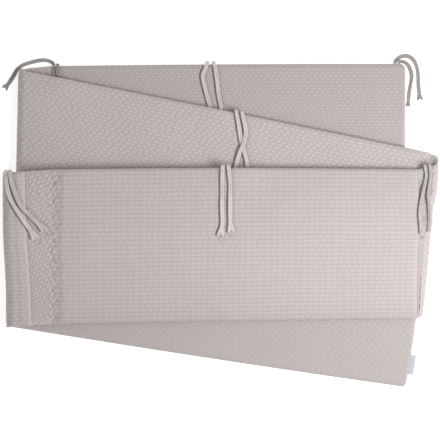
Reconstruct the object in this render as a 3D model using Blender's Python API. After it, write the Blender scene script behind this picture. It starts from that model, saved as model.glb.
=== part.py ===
# Playpen bumper: one long padded strip of four panels, folded back and forth into a flat stack.
# Metres, +Z up. The strip's tie edge points along +Y and the stack lies on z = 0.
import math

import bpy
import numpy as np
from mathutils import Vector
from mathutils.bvhtree import BVHTree

for leftover in list(bpy.data.objects):
    bpy.data.objects.remove(leftover, do_unlink=True)

# Driving sizes of the strip
STRIP_WIDTH = 0.305
PAD = 0.017              # panel thickness at its flat faces
CROWN = 0.0013           # extra fullness of a panel's upper face
HINGE = 0.008            # lightly filled strip between two panels
SEAM = 0.0046            # thickness at a stitched line
RIM_ROUND = 0.010        # how far the long edges and free ends round over
SEAM_ROUND = 0.015       # how far a panel rises from a stitched line
HINGE_ROUND = 0.007
CROWN_REACH = 0.08
END_CORNER = 0.009       # plan radius of the strip's free corners

# Driving sizes of the stack
LAYER_PITCH = 0.0196     # height from one layer's middle to the next
DRAPE_REACH = 0.155      # distance over which a layer sinks past the edge below it
FOLD_SQUEEZE = 0.14      # share of thickness lost where a panel is folded
SQUEEZE_REACH = 0.028
FOLD_RUN_SHARE = 0.75    # most of a run that a fold's bend may take
FOLD_STEPS = 10
BOW_HALF_LENGTH = 0.42

# Lines across the strip in plan: x and y at the tie edge, x and y at the lower edge
CROSS_LINES = {
    "end_a": (0.3688, 0.3208, 0.3688, 0.0142),
    "seam_a": (-0.3415, 0.3165, -0.3435, 0.0102),
    "seam_b": (-0.3877, 0.3125, -0.3930, 0.0075),
    "fold_1": (-0.4068, 0.3075, -0.4134, 0.0050),
    "end_b": (0.4155, 0.1425, 0.3785, -0.1670),
    "fold_2": (0.4328, 0.1265, 0.4013, -0.1773),
    "start_c": (0.3891, 0.1080, 0.3874, -0.1862),
    "end_c": (-0.3296, 0.1062, -0.3361, -0.1957),
    "seam_d": (-0.3870, 0.1034, -0.3780, -0.1990),
    "fold_3": (-0.4327, 0.1015, -0.4314, -0.2050),
    "end_d": (0.4133, -0.0206, 0.3699, -0.3268),
}

# Uneven lines, with rows of: share of the width from the tie edge, shift along x
LINE_WAVES = {
    "fold_2": (
        (0.0, 0.0), (0.10, 0.001), (0.19, 0.0028), (0.30, -0.0014), (0.48, -0.0022), (0.75, 0.0006),
        (1.0, 0.0),
    ),
    "end_d": ((0.0, -0.0125), (0.25, -0.0055), (0.50, -0.0015), (0.70, 0.0), (1.0, 0.0)),
}

# Folds whose tie edge is pulled askew: shift of the layer in, shift of the layer out, share of the width
FOLD_SKEW = {"fold_2": (0.0070, -0.0065, 0.25)}

# Hollows pressed into the slack cloth at fold 2: x, y, depth, spread along x, spread along y
HOLLOWS = (
    (0.3985, 0.074, 0.0050, 0.0060, 0.022),
    (0.4020, 0.024, 0.0045, 0.0045, 0.018),
    (0.3985, -0.024, 0.0035, 0.0050, 0.011),
)

# Places where a tie tucked beneath lifts a layer: layer, x, y, height, spread
TUCK_LIFTS = (
    ("b", -0.0110, 0.2190, 0.0038, 0.030),
    ("b", -0.3140, 0.2810, 0.0034, 0.026),
    ("c", 0.0520, 0.1000, 0.0034, 0.024),
    ("c", 0.0250, 0.1000, 0.0034, 0.024),
)

# Outward bow of a layer's two edges at mid length: tie edge, lower edge
EDGE_BOW = {"a": (0.002, 0.0), "b": (0.002, 0.002), "c": (0.004, -0.0035), "d": (0.002, 0.0025)}

# Ties: flat tapes of the same cloth, sewn in pairs into the tie edge
TAPE_WIDTH = 0.0080
SLIM_TAPE_WIDTH = 0.0066  # a tape that has rolled in along its length
TAPE = 0.0030
SEAT_GAP = 0.0004        # clearance between a tie and what it lies on
TAPE_STEP = 0.008
TAPE_SIDES = 8
TAPE_SECTION_POWER = 0.6  # 1 is an ellipse, less is squarer
LEVEL_DAMPING = 0.5      # share of a tape's tilt kept from one row to the next
CURVE_STEPS = 12
PROBE_SHARES = (-0.5, -0.25, 0.0, 0.25, 0.5)  # places across a tape where its seat is measured
PROBE_HEIGHT = 0.0104    # just above a layer's upper face and under the next layer

# Tie ends: distance from the tip, width, thickness
WIDE_END = ((0.0, 0.0148, 0.0024), (0.005, 0.0154, 0.0030), (0.011, 0.0122, 0.0030), (0.019, 0.0082, 0.0030))
BELL_END = ((0.0, 0.0118, 0.0026), (0.004, 0.0126, 0.0036), (0.009, 0.0092, 0.0032), (0.014, 0.0074, 0.0030))
SMALL_END = ((0.0, 0.0078, 0.0030), (0.005, 0.0086, 0.0040), (0.010, 0.0064, 0.0032), (0.016, 0.0068, 0.0030))
PLAIN_END = ((0.000, 0.0078, 0.0028),)
ROOT_WIDTH = 0.0064
ROOT_REACH = 0.030
ROOT_ROWS = (0.0, 0.002, 0.0045, 0.007, 0.010, 0.014)

# A tie's way out of the seam: distance outward and height above the seam, over the edge or beside it
OVER_EDGE = ((0.0006, 0.0000), (0.0030, 0.0006), (0.0052, 0.0050), (0.0030, 0.0102))
BESIDE_EDGE = ((0.0008, 0.0000), (0.0040, 0.0000))

# Ties: layer and x of the root, way out, layer it lies on, end, width, plan route to the tip
TIES = {
    "tie_end_a_outer": ("a", 0.3485, BESIDE_EDGE, "floor", BELL_END, TAPE_WIDTH, (
        (0.3514, 0.3302), (0.3600, 0.3362), (0.3705, 0.3384), (0.3802, 0.3355), (0.3880, 0.3278),
        (0.3930, 0.3160), (0.3957, 0.3012), (0.3962, 0.2847), (0.3974, 0.2682), (0.3995, 0.2490),
    )),
    "tie_end_a_inner": ("a", 0.3565, BESIDE_EDGE, "floor", SMALL_END, TAPE_WIDTH, (
        (0.3610, 0.3272), (0.3685, 0.3256), (0.3755, 0.3195), (0.3804, 0.3095), (0.3826, 0.2969),
        (0.3802, 0.2806), (0.3776, 0.2641), (0.3762, 0.2500), (0.3750, 0.2361),
    )),
    "tie_mid_a_left": ("a", -0.0280, OVER_EDGE, "a", PLAIN_END, TAPE_WIDTH, (
        (-0.0328, 0.3100), (-0.0378, 0.2972), (-0.0355, 0.2818), (-0.0305, 0.2614), (-0.0243, 0.2380),
        (-0.0215, 0.2250), (-0.0203, 0.2150),
    )),
    "tie_mid_a_right": ("a", -0.0155, OVER_EDGE, "a", PLAIN_END, TAPE_WIDTH, (
        (-0.0127, 0.3120), (-0.0112, 0.3000), (-0.0086, 0.2818), (-0.0056, 0.2564), (-0.0022, 0.2390),
        (-0.0005, 0.2260), (0.0003, 0.2150),
    )),
    "tie_fold_1_outer": ("a", -0.3375, BESIDE_EDGE, "floor", BELL_END, TAPE_WIDTH, (
        (-0.3408, 0.3250), (-0.3500, 0.3290), (-0.3648, 0.3294), (-0.3832, 0.3252), (-0.3985, 0.3203),
        (-0.4100, 0.3120), (-0.4185, 0.2985), (-0.4268, 0.2855), (-0.4372, 0.2718),
    )),
    "tie_fold_1_inner": ("a", -0.3285, OVER_EDGE, "a", PLAIN_END, TAPE_WIDTH, (
        (-0.3285, 0.3080), (-0.3262, 0.2990), (-0.3214, 0.2910), (-0.3165, 0.2835), (-0.3125, 0.2765),
        (-0.3098, 0.2690),
    )),
    "tie_mid_b_left": ("b", 0.0285, OVER_EDGE, "b", PLAIN_END, TAPE_WIDTH, (
        (0.0312, 0.2110), (0.0337, 0.1989), (0.0366, 0.1791), (0.0396, 0.1602), (0.0446, 0.1433),
        (0.0492, 0.1274), (0.0511, 0.1115), (0.0530, 0.0920),
    )),
    "tie_mid_b_right": ("b", 0.0400, OVER_EDGE, "b", PLAIN_END, TAPE_WIDTH, (
        (0.0435, 0.2080), (0.0458, 0.1990), (0.0480, 0.1811), (0.0440, 0.1612), (0.0372, 0.1453),
        (0.0313, 0.1274), (0.0277, 0.1115), (0.0240, 0.0920),
    )),
    "tie_fold_2_left": ("c", 0.4030, OVER_EDGE, "c", SMALL_END, SLIM_TAPE_WIDTH, (
        (0.4048, 0.1010), (0.4047, 0.0925), (0.4012, 0.0754), (0.3962, 0.0556), (0.3913, 0.0359),
        (0.3893, 0.0201), (0.3908, 0.0003), (0.3930, -0.0195),
    )),
    "tie_fold_2_right": ("c", 0.4120, OVER_EDGE, "c", SMALL_END, SLIM_TAPE_WIDTH, (
        (0.4130, 0.1035), (0.4130, 0.0905), (0.4100, 0.0715), (0.4080, 0.0556), (0.4093, 0.0398),
        (0.4097, 0.0201), (0.4091, 0.0003), (0.4085, -0.0155),
    )),
    "tie_mid_c_left": ("c", 0.0024, OVER_EDGE, "c", WIDE_END, TAPE_WIDTH, (
        (0.0018, 0.1040), (0.0008, 0.0727), (0.0008, 0.0344), (0.0016, 0.0062), (-0.0004, -0.0100),
        (-0.0032, -0.0245),
    )),
    "tie_mid_c_right": ("c", 0.0134, OVER_EDGE, "c", WIDE_END, TAPE_WIDTH, (
        (0.0143, 0.1040), (0.0164, 0.0796), (0.0166, 0.0344), (0.0166, 0.0062), (0.0176, -0.0060),
        (0.0186, -0.0172),
    )),
    "tie_fold_3_left": ("c", -0.4240, OVER_EDGE, "c", WIDE_END, TAPE_WIDTH, (
        (-0.4236, 0.0940), (-0.4212, 0.0751), (-0.4169, 0.0560), (-0.4082, 0.0377), (-0.3964, 0.0190),
        (-0.3801, -0.0057), (-0.3655, -0.0288),
    )),
    "tie_fold_3_right": ("c", -0.4155, OVER_EDGE, "c", WIDE_END, TAPE_WIDTH, (
        (-0.4146, 0.0940), (-0.4106, 0.0770), (-0.4040, 0.0574), (-0.3940, 0.0360), (-0.3785, 0.0185),
        (-0.3652, 0.0052), (-0.3465, -0.0128),
    )),
}

# Where one tie passes over another: tie, x, y, lift, spread
TIE_CROSSINGS = (("tie_mid_b_right", 0.0425, 0.1560, 0.0044, 0.020),)

# Sewn-in ribbon label on the free end of panel d: share of the width at its middle, and its sizes
LABEL_SHARE = 0.853
LABEL_WIDTH = 0.040
LABEL_REACH = 0.011
LABEL_ROOT = 0.0010
LABEL_BULGE = 0.0020
LABEL_DROOP = 0.0016
LABEL_ROOT_SHARE = 0.1   # shares of the reach: closing at the root, closing at the tip, swelling
LABEL_TIP_SHARE = 0.3
LABEL_SWELL_SHARE = 0.7
LABEL_ROWS = 5
LABEL_COLUMNS = 7

# Layers below each layer, and the cross lines that end the layers that others drape over
UNDER = {"a": "", "b": "a", "d": "ab", "c": "abd"}
FOOTPRINTS = {"a": ("fold_1", "end_a"), "b": ("fold_1", "fold_2"), "d": ("fold_3", "end_d")}

# Folds: layer in, its seam, layer out, its seam, outward direction along x, thickness
FOLDED_PAD = PAD * (1.0 - FOLD_SQUEEZE)
FOLDS = {
    "fold_1": ("a", "seam_b", "b", "end_b", -1.0, FOLDED_PAD),
    "fold_2": ("b", "end_b", "c", "start_c", 1.0, HINGE),
    "fold_3": ("c", "seam_d", "d", "end_d", -1.0, FOLDED_PAD),
}

# Row spacings beside a free end, a seam on its padded side and a seam on its hinge side
END_ROWS = (0.0, 0.0008, 0.003, 0.0065, 0.011)
PAD_ROWS = (0.0, 0.0015, 0.005, 0.010, 0.016)
HINGE_ROWS = (0.0, 0.003, 0.008)
PLAIN_ROWS = (0.0,)

# The strip from its free end on panel a to its free end on panel d.
# Runs: layer, from, to, rows between, rows beside the start, rows beside the end, what it belongs to
RUNS = (
    ("a", "end_a", "seam_a", 13, END_ROWS, PAD_ROWS, "pad"),
    ("a", "seam_a", "seam_b", 1, HINGE_ROWS, HINGE_ROWS, "hinge"),
    ("a", "seam_b", "fold_1 in", 0, PLAIN_ROWS, PLAIN_ROWS, "pad"),
    ("b", "fold_1 out", "end_b", 17, PLAIN_ROWS, PAD_ROWS, "pad"),
    ("b", "end_b", "fold_2 in", 0, PLAIN_ROWS, PLAIN_ROWS, "hinge"),
    ("c", "fold_2 out", "start_c", 3, PLAIN_ROWS, PLAIN_ROWS, "hinge"),
    ("c", "start_c", "end_c", 14, PAD_ROWS, PAD_ROWS, "pad"),
    ("c", "end_c", "seam_d", 2, HINGE_ROWS, HINGE_ROWS, "hinge"),
    ("c", "seam_d", "fold_3 in", 1, PAD_ROWS, PLAIN_ROWS, "pad"),
    ("d", "fold_3 out", "end_d", 17, PLAIN_ROWS, END_ROWS, "pad"),
)

EDGE_COLUMNS = (0.0, 0.0008, 0.003, 0.0065, 0.011)
MIDDLE_COLUMNS = 9


def smooth(value):
    value = min(max(value, 0.0), 1.0)
    return value * value * (3.0 - 2.0 * value)


def bell(first, second):
    return math.exp(-0.5 * (first * first + second * second))


def round_over(distance, reach):
    """Quarter-round rise from 0 at an edge to 1 at the given reach."""
    share = min(max(distance / reach, 0.0), 1.0)
    return math.sqrt(1.0 - (1.0 - share) ** 2)


def across(name, share):
    """Plan point on a cross line at a share of the strip's width."""
    top_x, top_y, low_x, low_y = CROSS_LINES[name]
    x = top_x + (low_x - top_x) * share
    y = top_y + (low_y - top_y) * share
    if name in LINE_WAVES:
        shares, shifts = zip(*LINE_WAVES[name])
        x += float(np.interp(share, shares, shifts))
    return np.array((x, y))


def outline(layer):
    """Footprint corners of a layer, counter-clockwise seen from above."""
    left, right = FOOTPRINTS[layer]
    return [across(left, 0.0), across(left, 1.0), across(right, 1.0), across(right, 0.0)]


OUTLINES = {layer: outline(layer) for layer in FOOTPRINTS}


def outside_distance(point, corners):
    """Distance from a plan point to a convex outline, or 0 inside it."""
    best = math.inf
    inside = True
    for start, end in zip(corners, corners[1:] + corners[:1]):
        side = end - start
        offset = point - start
        if side[0] * offset[1] - side[1] * offset[0] < 0.0:
            inside = False
        along = min(max(float(offset @ side) / float(side @ side), 0.0), 1.0)
        best = min(best, float(np.linalg.norm(offset - side * along)))
    return 0.0 if inside else best


def height(layer, point):
    """Middle height of a layer: it rests on the layers below and sinks past their edges."""
    total = PAD / 2.0
    for below in UNDER[layer]:
        total += LAYER_PITCH * (1.0 - smooth(outside_distance(point, OUTLINES[below]) / DRAPE_REACH))
    for lifted, x, y, rise, spread in TUCK_LIFTS:
        if lifted == layer:
            total += rise * bell((point[0] - x) / spread, (point[1] - y) / spread)
    if layer == "c":
        for x, y, depth, spread_x, spread_y in HOLLOWS:
            total -= depth * bell((point[0] - x) / spread_x, (point[1] - y) / spread_y)
    return total


def layer_point(layer, plan, share):
    """Point on a layer's middle surface, with the strip's edges bowed."""
    bow = max(0.0, 1.0 - (plan[0] / BOW_HALF_LENGTH) ** 2)
    top_bow, low_bow = EDGE_BOW[layer]
    placed = plan + np.array((0.0, bow * (top_bow * (1.0 - share) - low_bow * share)))
    return np.array((placed[0], placed[1], height(layer, placed)))


def fold_plan(name, share):
    """Apex and the two inner ends of a fold's bend, in plan."""
    layer_in, seam_in, layer_out, seam_out, outward, thickness = FOLDS[name]
    edge = min(share, 1.0 - share) * STRIP_WIDTH
    inset = 0.5 * thickness * round_over(edge, RIM_ROUND)
    apex = across(name, share) - np.array((outward * inset, 0.0))
    shift_in, shift_out, faded = FOLD_SKEW.get(name, (0.0, 0.0, 1.0))
    fade = smooth(1.0 - share / faded)
    apex_in = apex + np.array((0.0, shift_in * fade))
    apex_out = apex + np.array((0.0, shift_out * fade))
    to_in = across(seam_in, share) - apex_in
    to_out = across(seam_out, share) - apex_out
    run_in = float(np.linalg.norm(to_in))
    run_out = float(np.linalg.norm(to_out))
    rise = abs(height(layer_out, apex) - height(layer_in, apex))
    reach = min(0.5 * rise, FOLD_RUN_SHARE * run_in, FOLD_RUN_SHARE * run_out)
    return apex, apex_in + to_in * (reach / run_in), apex_out + to_out * (reach / run_out)


def plan_at(name, share):
    """Plan point of a cross line, or of the inner end of a fold's bend."""
    if name.endswith(" in"):
        return fold_plan(name[:-3], share)[1]
    if name.endswith(" out"):
        return fold_plan(name[:-4], share)[2]
    return across(name, share)


def free_end_share(share, distance):
    """Share of the width after the free end's rounded corners draw the edges in."""
    if distance >= END_CORNER:
        return share
    pull = END_CORNER * (1.0 - round_over(distance, END_CORNER)) / STRIP_WIDTH
    return pull + share * (1.0 - 2.0 * pull)


def run_points(run, share):
    """Points along one flat run of a layer, at a share of the width."""
    layer, first, last, inner_rows, first_rows, last_rows, _ = run
    length = float(np.linalg.norm(plan_at(last, share) - plan_at(first, share)))
    steps = list(first_rows)
    gap = length - last_rows[-1] - steps[-1]
    steps += [first_rows[-1] + gap * (row + 1) / (inner_rows + 1) for row in range(inner_rows)]
    steps += [length - step for step in reversed(last_rows)]
    points = []
    for step in steps:
        placed = share
        if first == "end_a":
            placed = free_end_share(share, step)
        if last == "end_d":
            placed = free_end_share(share, length - step)
        start = plan_at(first, placed)
        plan = start + (plan_at(last, placed) - start) * (step / length)
        points.append(layer_point(layer, plan, placed))
    return points


def fold_points(name, share):
    """Points round a fold's bend between its two inner ends, both left out."""
    layer_in, _, layer_out, _, _, _ = FOLDS[name]
    apex, plan_in, plan_out = fold_plan(name, share)
    start = layer_point(layer_in, plan_in, share)
    end = layer_point(layer_out, plan_out, share)
    middle = (start + end) / 2.0
    reach = np.array((apex[0] - middle[0], 0.0, 0.0))
    points = []
    for step in range(1, FOLD_STEPS):
        angle = math.pi * (step / FOLD_STEPS - 0.5)
        points.append(middle + (end - start) * (0.5 * math.sin(angle)) + reach * math.cos(angle))
    return points


def strip_rows():
    """Rows of the strip: where each zone starts and ends, and how much of a row lies flat."""
    zones = []
    flat = []
    folds = {}
    for run in RUNS:
        layer, first, last, inner_rows, first_rows, last_rows, kind = run
        if first.endswith(" out"):
            name = first[:-4]
            folds[name] = len(flat) + FOLD_STEPS // 2 - 1
            flat += [1.0 - math.cos(math.pi * (step / FOLD_STEPS - 0.5)) for step in range(1, FOLD_STEPS)]
        else:
            if zones:
                zones[-1][1] = len(flat) - 1
                flat.pop()
            zones.append([len(flat), None, kind])
        flat += [1.0] * (len(first_rows) + inner_rows + len(last_rows))
    zones[-1][1] = len(flat) - 1
    return zones, flat, folds


def centre_grid(shares):
    """Middle surface of the whole strip, rows along it and columns across it."""
    columns = []
    for share in shares:
        points = []
        for run in RUNS:
            if run[1].endswith(" out"):
                points += fold_points(run[1][:-4], share)
            elif points:
                points.pop()
            points += run_points(run, share)
        columns.append(points)
    return np.array(columns).transpose(1, 0, 2)


def unit(vectors):
    return vectors / np.linalg.norm(vectors, axis=-1, keepdims=True)


def grid_normals(grid):
    """Unit normals of a grid of points, facing up on layer a."""
    along = np.zeros_like(grid)
    step = unit(grid[1:] - grid[:-1])
    along[1:-1] = step[1:] + step[:-1]
    along[0] = step[0]
    along[-1] = step[-1]
    side = np.zeros_like(grid)
    step = unit(grid[:, 1:] - grid[:, :-1])
    side[:, 1:-1] = step[:, 1:] + step[:, :-1]
    side[:, 0] = step[:, 0]
    side[:, -1] = step[:, -1]
    normals = unit(np.cross(along, side))
    return normals if normals[2, 2, 2] > 0.0 else -normals


def half_thickness(grid, edges, zones, folds):
    """Half thickness and crown at every point of the strip."""
    travelled = np.zeros(grid.shape[:2])
    travelled[1:] = np.cumsum(np.linalg.norm(grid[1:] - grid[:-1], axis=-1), axis=0)
    half = np.zeros(grid.shape[:2])
    crown = np.zeros(grid.shape[:2])
    for first, last, kind in zones:
        for row in range(first, last + 1):
            for column, edge in enumerate(edges):
                before = travelled[row, column] - travelled[first, column]
                after = travelled[last, column] - travelled[row, column]
                rim = round_over(edge, RIM_ROUND)
                if kind == "hinge":
                    rise = round_over(min(before, after), HINGE_ROUND)
                    half[row, column] = 0.5 * (SEAM + (HINGE - SEAM) * rise) * rim
                    continue
                rise = 1.0
                if first > 0:
                    rise = min(rise, round_over(before, SEAM_ROUND))
                if last < len(grid) - 1:
                    rise = min(rise, round_over(after, SEAM_ROUND))
                thick = SEAM + (PAD - SEAM) * rise
                if first == 0:
                    thick *= round_over(before, RIM_ROUND)
                if last == len(grid) - 1:
                    thick *= round_over(after, RIM_ROUND)
                bent = 0.0
                for apex in folds.values():
                    distance = abs(travelled[row, column] - travelled[apex, column])
                    bent = max(bent, math.exp(-((distance / SQUEEZE_REACH) ** 2)))
                half[row, column] = 0.5 * thick * (1.0 - FOLD_SQUEEZE * bent) * rim
                fullness = smooth(before / CROWN_REACH) * smooth(after / CROWN_REACH)
                crown[row, column] = CROWN * fullness * smooth(edge / CROWN_REACH) * (1.0 - bent)
    return half, crown


def skin(front, back):
    """Vertices and faces of a closed body whose front and back share their rim."""
    rows, columns = front.shape[:2]
    vertices = []
    front_index = np.zeros((rows, columns), dtype=int)
    back_index = np.zeros((rows, columns), dtype=int)
    for row in range(rows):
        for column in range(columns):
            front_index[row, column] = len(vertices)
            back_index[row, column] = len(vertices)
            vertices.append(front[row, column])
            if 0 < row < rows - 1 and 0 < column < columns - 1:
                back_index[row, column] = len(vertices)
                vertices.append(back[row, column])
    faces = []
    for row in range(rows - 1):
        for column in range(columns - 1):
            corners = ((row, column), (row + 1, column), (row + 1, column + 1), (row, column + 1))
            faces.append([front_index[corner] for corner in corners])
            faces.append([back_index[corner] for corner in reversed(corners)])
    return vertices, faces


def strip_mesh(edges, shares):
    """Vertices and faces of the closed strip, and the line of its tie edge."""
    zones, flat, folds = strip_rows()
    grid = centre_grid(shares)
    normals = grid_normals(grid)
    half, crown = half_thickness(grid, edges, zones, folds)
    upward = normals[:, :, 2]
    level = np.array(flat)[:, None]
    lean = 1.0 - level * (1.0 - np.abs(upward))
    front = grid + normals * ((half + crown * (upward > 0.0)) * lean)[:, :, None]
    back = grid - normals * ((half + crown * (upward <= 0.0)) * lean)[:, :, None]
    vertices, faces = skin(front, back)
    return vertices, faces, grid[:, 0]


def closed_object(name, vertices, faces, material):
    """One smooth-shaded closed body with its faces turned outward."""
    mesh = bpy.data.meshes.new(name)
    mesh.from_pydata([tuple(float(value) for value in vertex) for vertex in vertices], [], faces)
    mesh.update()
    volume = 0.0
    mesh.calc_loop_triangles()
    for triangle in mesh.loop_triangles:
        a, b, c = (mesh.vertices[index].co for index in triangle.vertices)
        volume += a.dot(b.cross(c))
    if volume < 0.0:
        mesh.flip_normals()
    for polygon in mesh.polygons:
        polygon.use_smooth = True
    mesh.materials.append(material)
    placed = bpy.data.objects.new(name, mesh)
    bpy.context.collection.objects.link(placed)
    return placed


def cloth_material(name, colour, roughness):
    material = bpy.data.materials.new(name)
    material.use_nodes = True
    shader = material.node_tree.nodes["Principled BSDF"]
    shader.inputs["Base Color"].default_value = (*colour, 1.0)
    shader.inputs["Roughness"].default_value = roughness
    shader.inputs["Metallic"].default_value = 0.0
    return material


def strip_columns():
    """Distance from the nearer long edge, and share of the width, of each column."""
    gap = (STRIP_WIDTH - 2.0 * EDGE_COLUMNS[-1]) / (MIDDLE_COLUMNS + 1)
    places = list(EDGE_COLUMNS)
    places += [EDGE_COLUMNS[-1] + gap * (step + 1) for step in range(MIDDLE_COLUMNS)]
    places += [STRIP_WIDTH - step for step in reversed(EDGE_COLUMNS)]
    edges = [min(place, STRIP_WIDTH - place) for place in places]
    return edges, [place / STRIP_WIDTH for place in places]


def layer_top(tree, layer, x, y):
    """Height of a layer's upper face under a plan point, or None beside the layer."""
    if layer == "floor":
        return 0.0
    above = height(layer, np.array((x, y))) + PROBE_HEIGHT
    hit = tree.ray_cast(Vector((x, y, above)), Vector((0.0, 0.0, -1.0)), 2.0 * PAD)
    return None if hit[0] is None else hit[0].z


def curve_through(points, tip_rows):
    """Points on a smooth curve through the given ones, close together at the root and the tip."""
    points = [np.array(point) for point in points]
    padded = [2.0 * points[0] - points[1]] + points + [2.0 * points[-1] - points[-2]]
    fine = []
    for before, start, end, after in zip(padded, padded[1:], padded[2:], padded[3:]):
        for share in np.linspace(0.0, 1.0, CURVE_STEPS, endpoint=False):
            bend = 2.0 * before - 5.0 * start + 4.0 * end - after
            twist = 3.0 * (start - end) + after - before
            fine.append(start + 0.5 * share * ((end - before) + share * (bend + share * twist)))
    fine.append(points[-1])
    fine = np.array(fine)
    travelled = np.concatenate(((0.0,), np.cumsum(np.linalg.norm(fine[1:] - fine[:-1], axis=1))))
    plain = travelled[-1] - tip_rows[-1]
    even = max(2, round((plain - ROOT_ROWS[-1]) / TAPE_STEP))
    places = list(ROOT_ROWS) + list(np.linspace(ROOT_ROWS[-1], plain, even + 1)[1:])
    places += [travelled[-1] - row for row in reversed(tip_rows[:-1])]
    return np.stack([np.interp(places, travelled, fine[:, axis]) for axis in range(3)], axis=1)


def tape_sizes(travelled, total, width, end_rows):
    """Width and thickness of a tie at a distance along it."""
    left, widths, depths = zip(*end_rows)
    wide = width
    deep = TAPE
    from_tip = total - travelled
    if from_tip < left[-1]:
        wide = float(np.interp(from_tip, left, widths))
        deep = float(np.interp(from_tip, left, depths))
    root = smooth(travelled / ROOT_REACH)
    return wide + (ROOT_WIDTH - wide) * (1.0 - root), deep


def way_out(rim, layer, x, steps):
    """Points that lead a tie out of the stitched edge of a layer at the given x."""
    best = None
    for start, end in zip(rim, rim[1:]):
        if (start[0] - x) * (end[0] - x) > 0.0 or start[0] == end[0]:
            continue
        point = start + (end - start) * ((x - start[0]) / (end[0] - start[0]))
        off = abs(point[2] - height(layer, point[:2]))
        if best is None or off < best[0]:
            best = (off, point, end - start)
    _, seam, along = best
    outward = unit(np.array((-along[1], along[0])) * math.copysign(1.0, along[0]))
    return [(*(seam[:2] + outward * out), seam[2] + rise) for out, rise in steps]


def tie_path(tree, rim, name):
    """Middle line of a tie, laid on its layer, with its width and thickness at each point."""
    root_layer, root_x, steps, layer, end_rows, width, route = TIES[name]
    points = way_out(rim, root_layer, root_x, steps)
    points += [(x, y, layer_top(tree, layer, x, y) + TAPE / 2.0 + SEAT_GAP) for x, y in route]
    path = curve_through(points, [row[0] for row in end_rows])
    first_laid = int(np.argmin(np.linalg.norm(path - np.array(points[len(steps)]), axis=1)))
    travelled = np.concatenate(((0.0,), np.cumsum(np.linalg.norm(path[1:] - path[:-1], axis=1))))
    sizes = [tape_sizes(distance, travelled[-1], width, end_rows) for distance in travelled]
    sides = tape_sides(path)
    for index in range(first_laid, len(path)):
        wide, deep = sizes[index]
        tops = []
        for share in PROBE_SHARES:
            probe = path[index] + sides[index] * (wide * share)
            tops.append(layer_top(tree, layer, probe[0], probe[1]))
        seat = max(top for top in tops if top is not None)
        lift = 0.0
        for crossing, x, y, rise, spread in TIE_CROSSINGS:
            if crossing == name:
                lift = rise * bell((path[index][0] - x) / spread, (path[index][1] - y) / spread)
        path[index][2] = seat + deep / 2.0 + SEAT_GAP + lift
    return path, sides, sizes


def tape_sides(path):
    """Direction across the tape at each point, level where it lies and carried back to the root."""
    tangents = unit(np.gradient(path, axis=0))
    sides = np.zeros_like(path)
    side = np.array((tangents[-1][1], -tangents[-1][0], 0.0))
    for index in range(len(path) - 1, -1, -1):
        side = side - tangents[index] * float(side @ tangents[index])
        side[2] *= LEVEL_DAMPING
        side = side / np.linalg.norm(side)
        sides[index] = side
    return sides


def squared(value):
    """Flattens a circle's cosine or sine towards a tape's squarer section."""
    return math.copysign(abs(value) ** TAPE_SECTION_POWER, value)


def tape_mesh(path, sides, sizes):
    """Closed tape swept along its middle line, with a rounded flat section."""
    tangents = unit(np.gradient(path, axis=0))
    vertices = []
    for point, side, tangent, (wide, deep) in zip(path, sides, tangents, sizes):
        across_tape = unit(side - tangent * float(side @ tangent))
        up = np.cross(across_tape, tangent)
        for corner in range(TAPE_SIDES):
            angle = 2.0 * math.pi * (corner + 0.5) / TAPE_SIDES
            shift = 0.5 * wide * squared(math.cos(angle))
            rise = 0.5 * deep * squared(math.sin(angle))
            vertices.append(point + across_tape * shift + up * rise)
    faces = []
    for ring in range(len(path) - 1):
        for corner in range(TAPE_SIDES):
            following = (corner + 1) % TAPE_SIDES
            low = ring * TAPE_SIDES
            high = low + TAPE_SIDES
            faces.append([low + corner, low + following, high + following, high + corner])
    last = (len(path) - 1) * TAPE_SIDES
    faces.append(list(reversed(range(TAPE_SIDES))))
    faces.append([last + corner for corner in range(TAPE_SIDES)])
    return vertices, faces


def label_mesh():
    """Small folded ribbon that stands out from panel d's free end."""
    half_share = 0.5 * LABEL_WIDTH / STRIP_WIDTH
    start = across("end_d", LABEL_SHARE - half_share)
    end = across("end_d", LABEL_SHARE + half_share)
    along = unit(end - start)
    outward = np.array((-along[1], along[0]))
    front = np.zeros((LABEL_ROWS, LABEL_COLUMNS, 3))
    back = np.zeros_like(front)
    for row in range(LABEL_ROWS):
        for column in range(LABEL_COLUMNS):
            reach = column / (LABEL_COLUMNS - 1)
            plan = start + along * (LABEL_WIDTH * row / (LABEL_ROWS - 1))
            middle = height("d", plan) - LABEL_DROOP * reach * reach
            plan = plan + outward * (SEAT_GAP + LABEL_REACH * reach)
            inner_row = 0 < row < LABEL_ROWS - 1
            rounded = round_over(1.0 - reach, LABEL_TIP_SHARE) * round_over(reach, LABEL_ROOT_SHARE)
            swell = LABEL_ROOT + (LABEL_BULGE - LABEL_ROOT) * smooth(reach / LABEL_SWELL_SHARE)
            deep = swell * rounded * inner_row
            front[row, column] = (plan[0], plan[1], middle + deep / 2.0)
            back[row, column] = (plan[0], plan[1], middle - deep / 2.0)
    return front, back


bubble_cloth = cloth_material("bubble_cloth", (0.50, 0.46, 0.43), 0.9)
tape_cloth = cloth_material("tape_cloth", (0.52, 0.48, 0.45), 0.9)
ribbon = cloth_material("ribbon", (0.85, 0.87, 0.90), 0.6)

edge_distances, width_shares = strip_columns()
strip_vertices, strip_faces, tie_rim = strip_mesh(edge_distances, width_shares)
bumper = closed_object("bumper", strip_vertices, strip_faces, bubble_cloth)
bumper_tree = BVHTree.FromPolygons([vertex.co for vertex in bumper.data.vertices], strip_faces)

for tie_name in TIES:
    tie_vertices, tie_faces = tape_mesh(*tie_path(bumper_tree, tie_rim, tie_name))
    closed_object(tie_name, tie_vertices, tie_faces, tape_cloth)

label_vertices, label_faces = skin(*label_mesh())
closed_object("label", label_vertices, label_faces, ribbon)
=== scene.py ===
import math

import bpy
import numpy as np
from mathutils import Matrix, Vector
from mathutils.bvhtree import BVHTree


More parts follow.
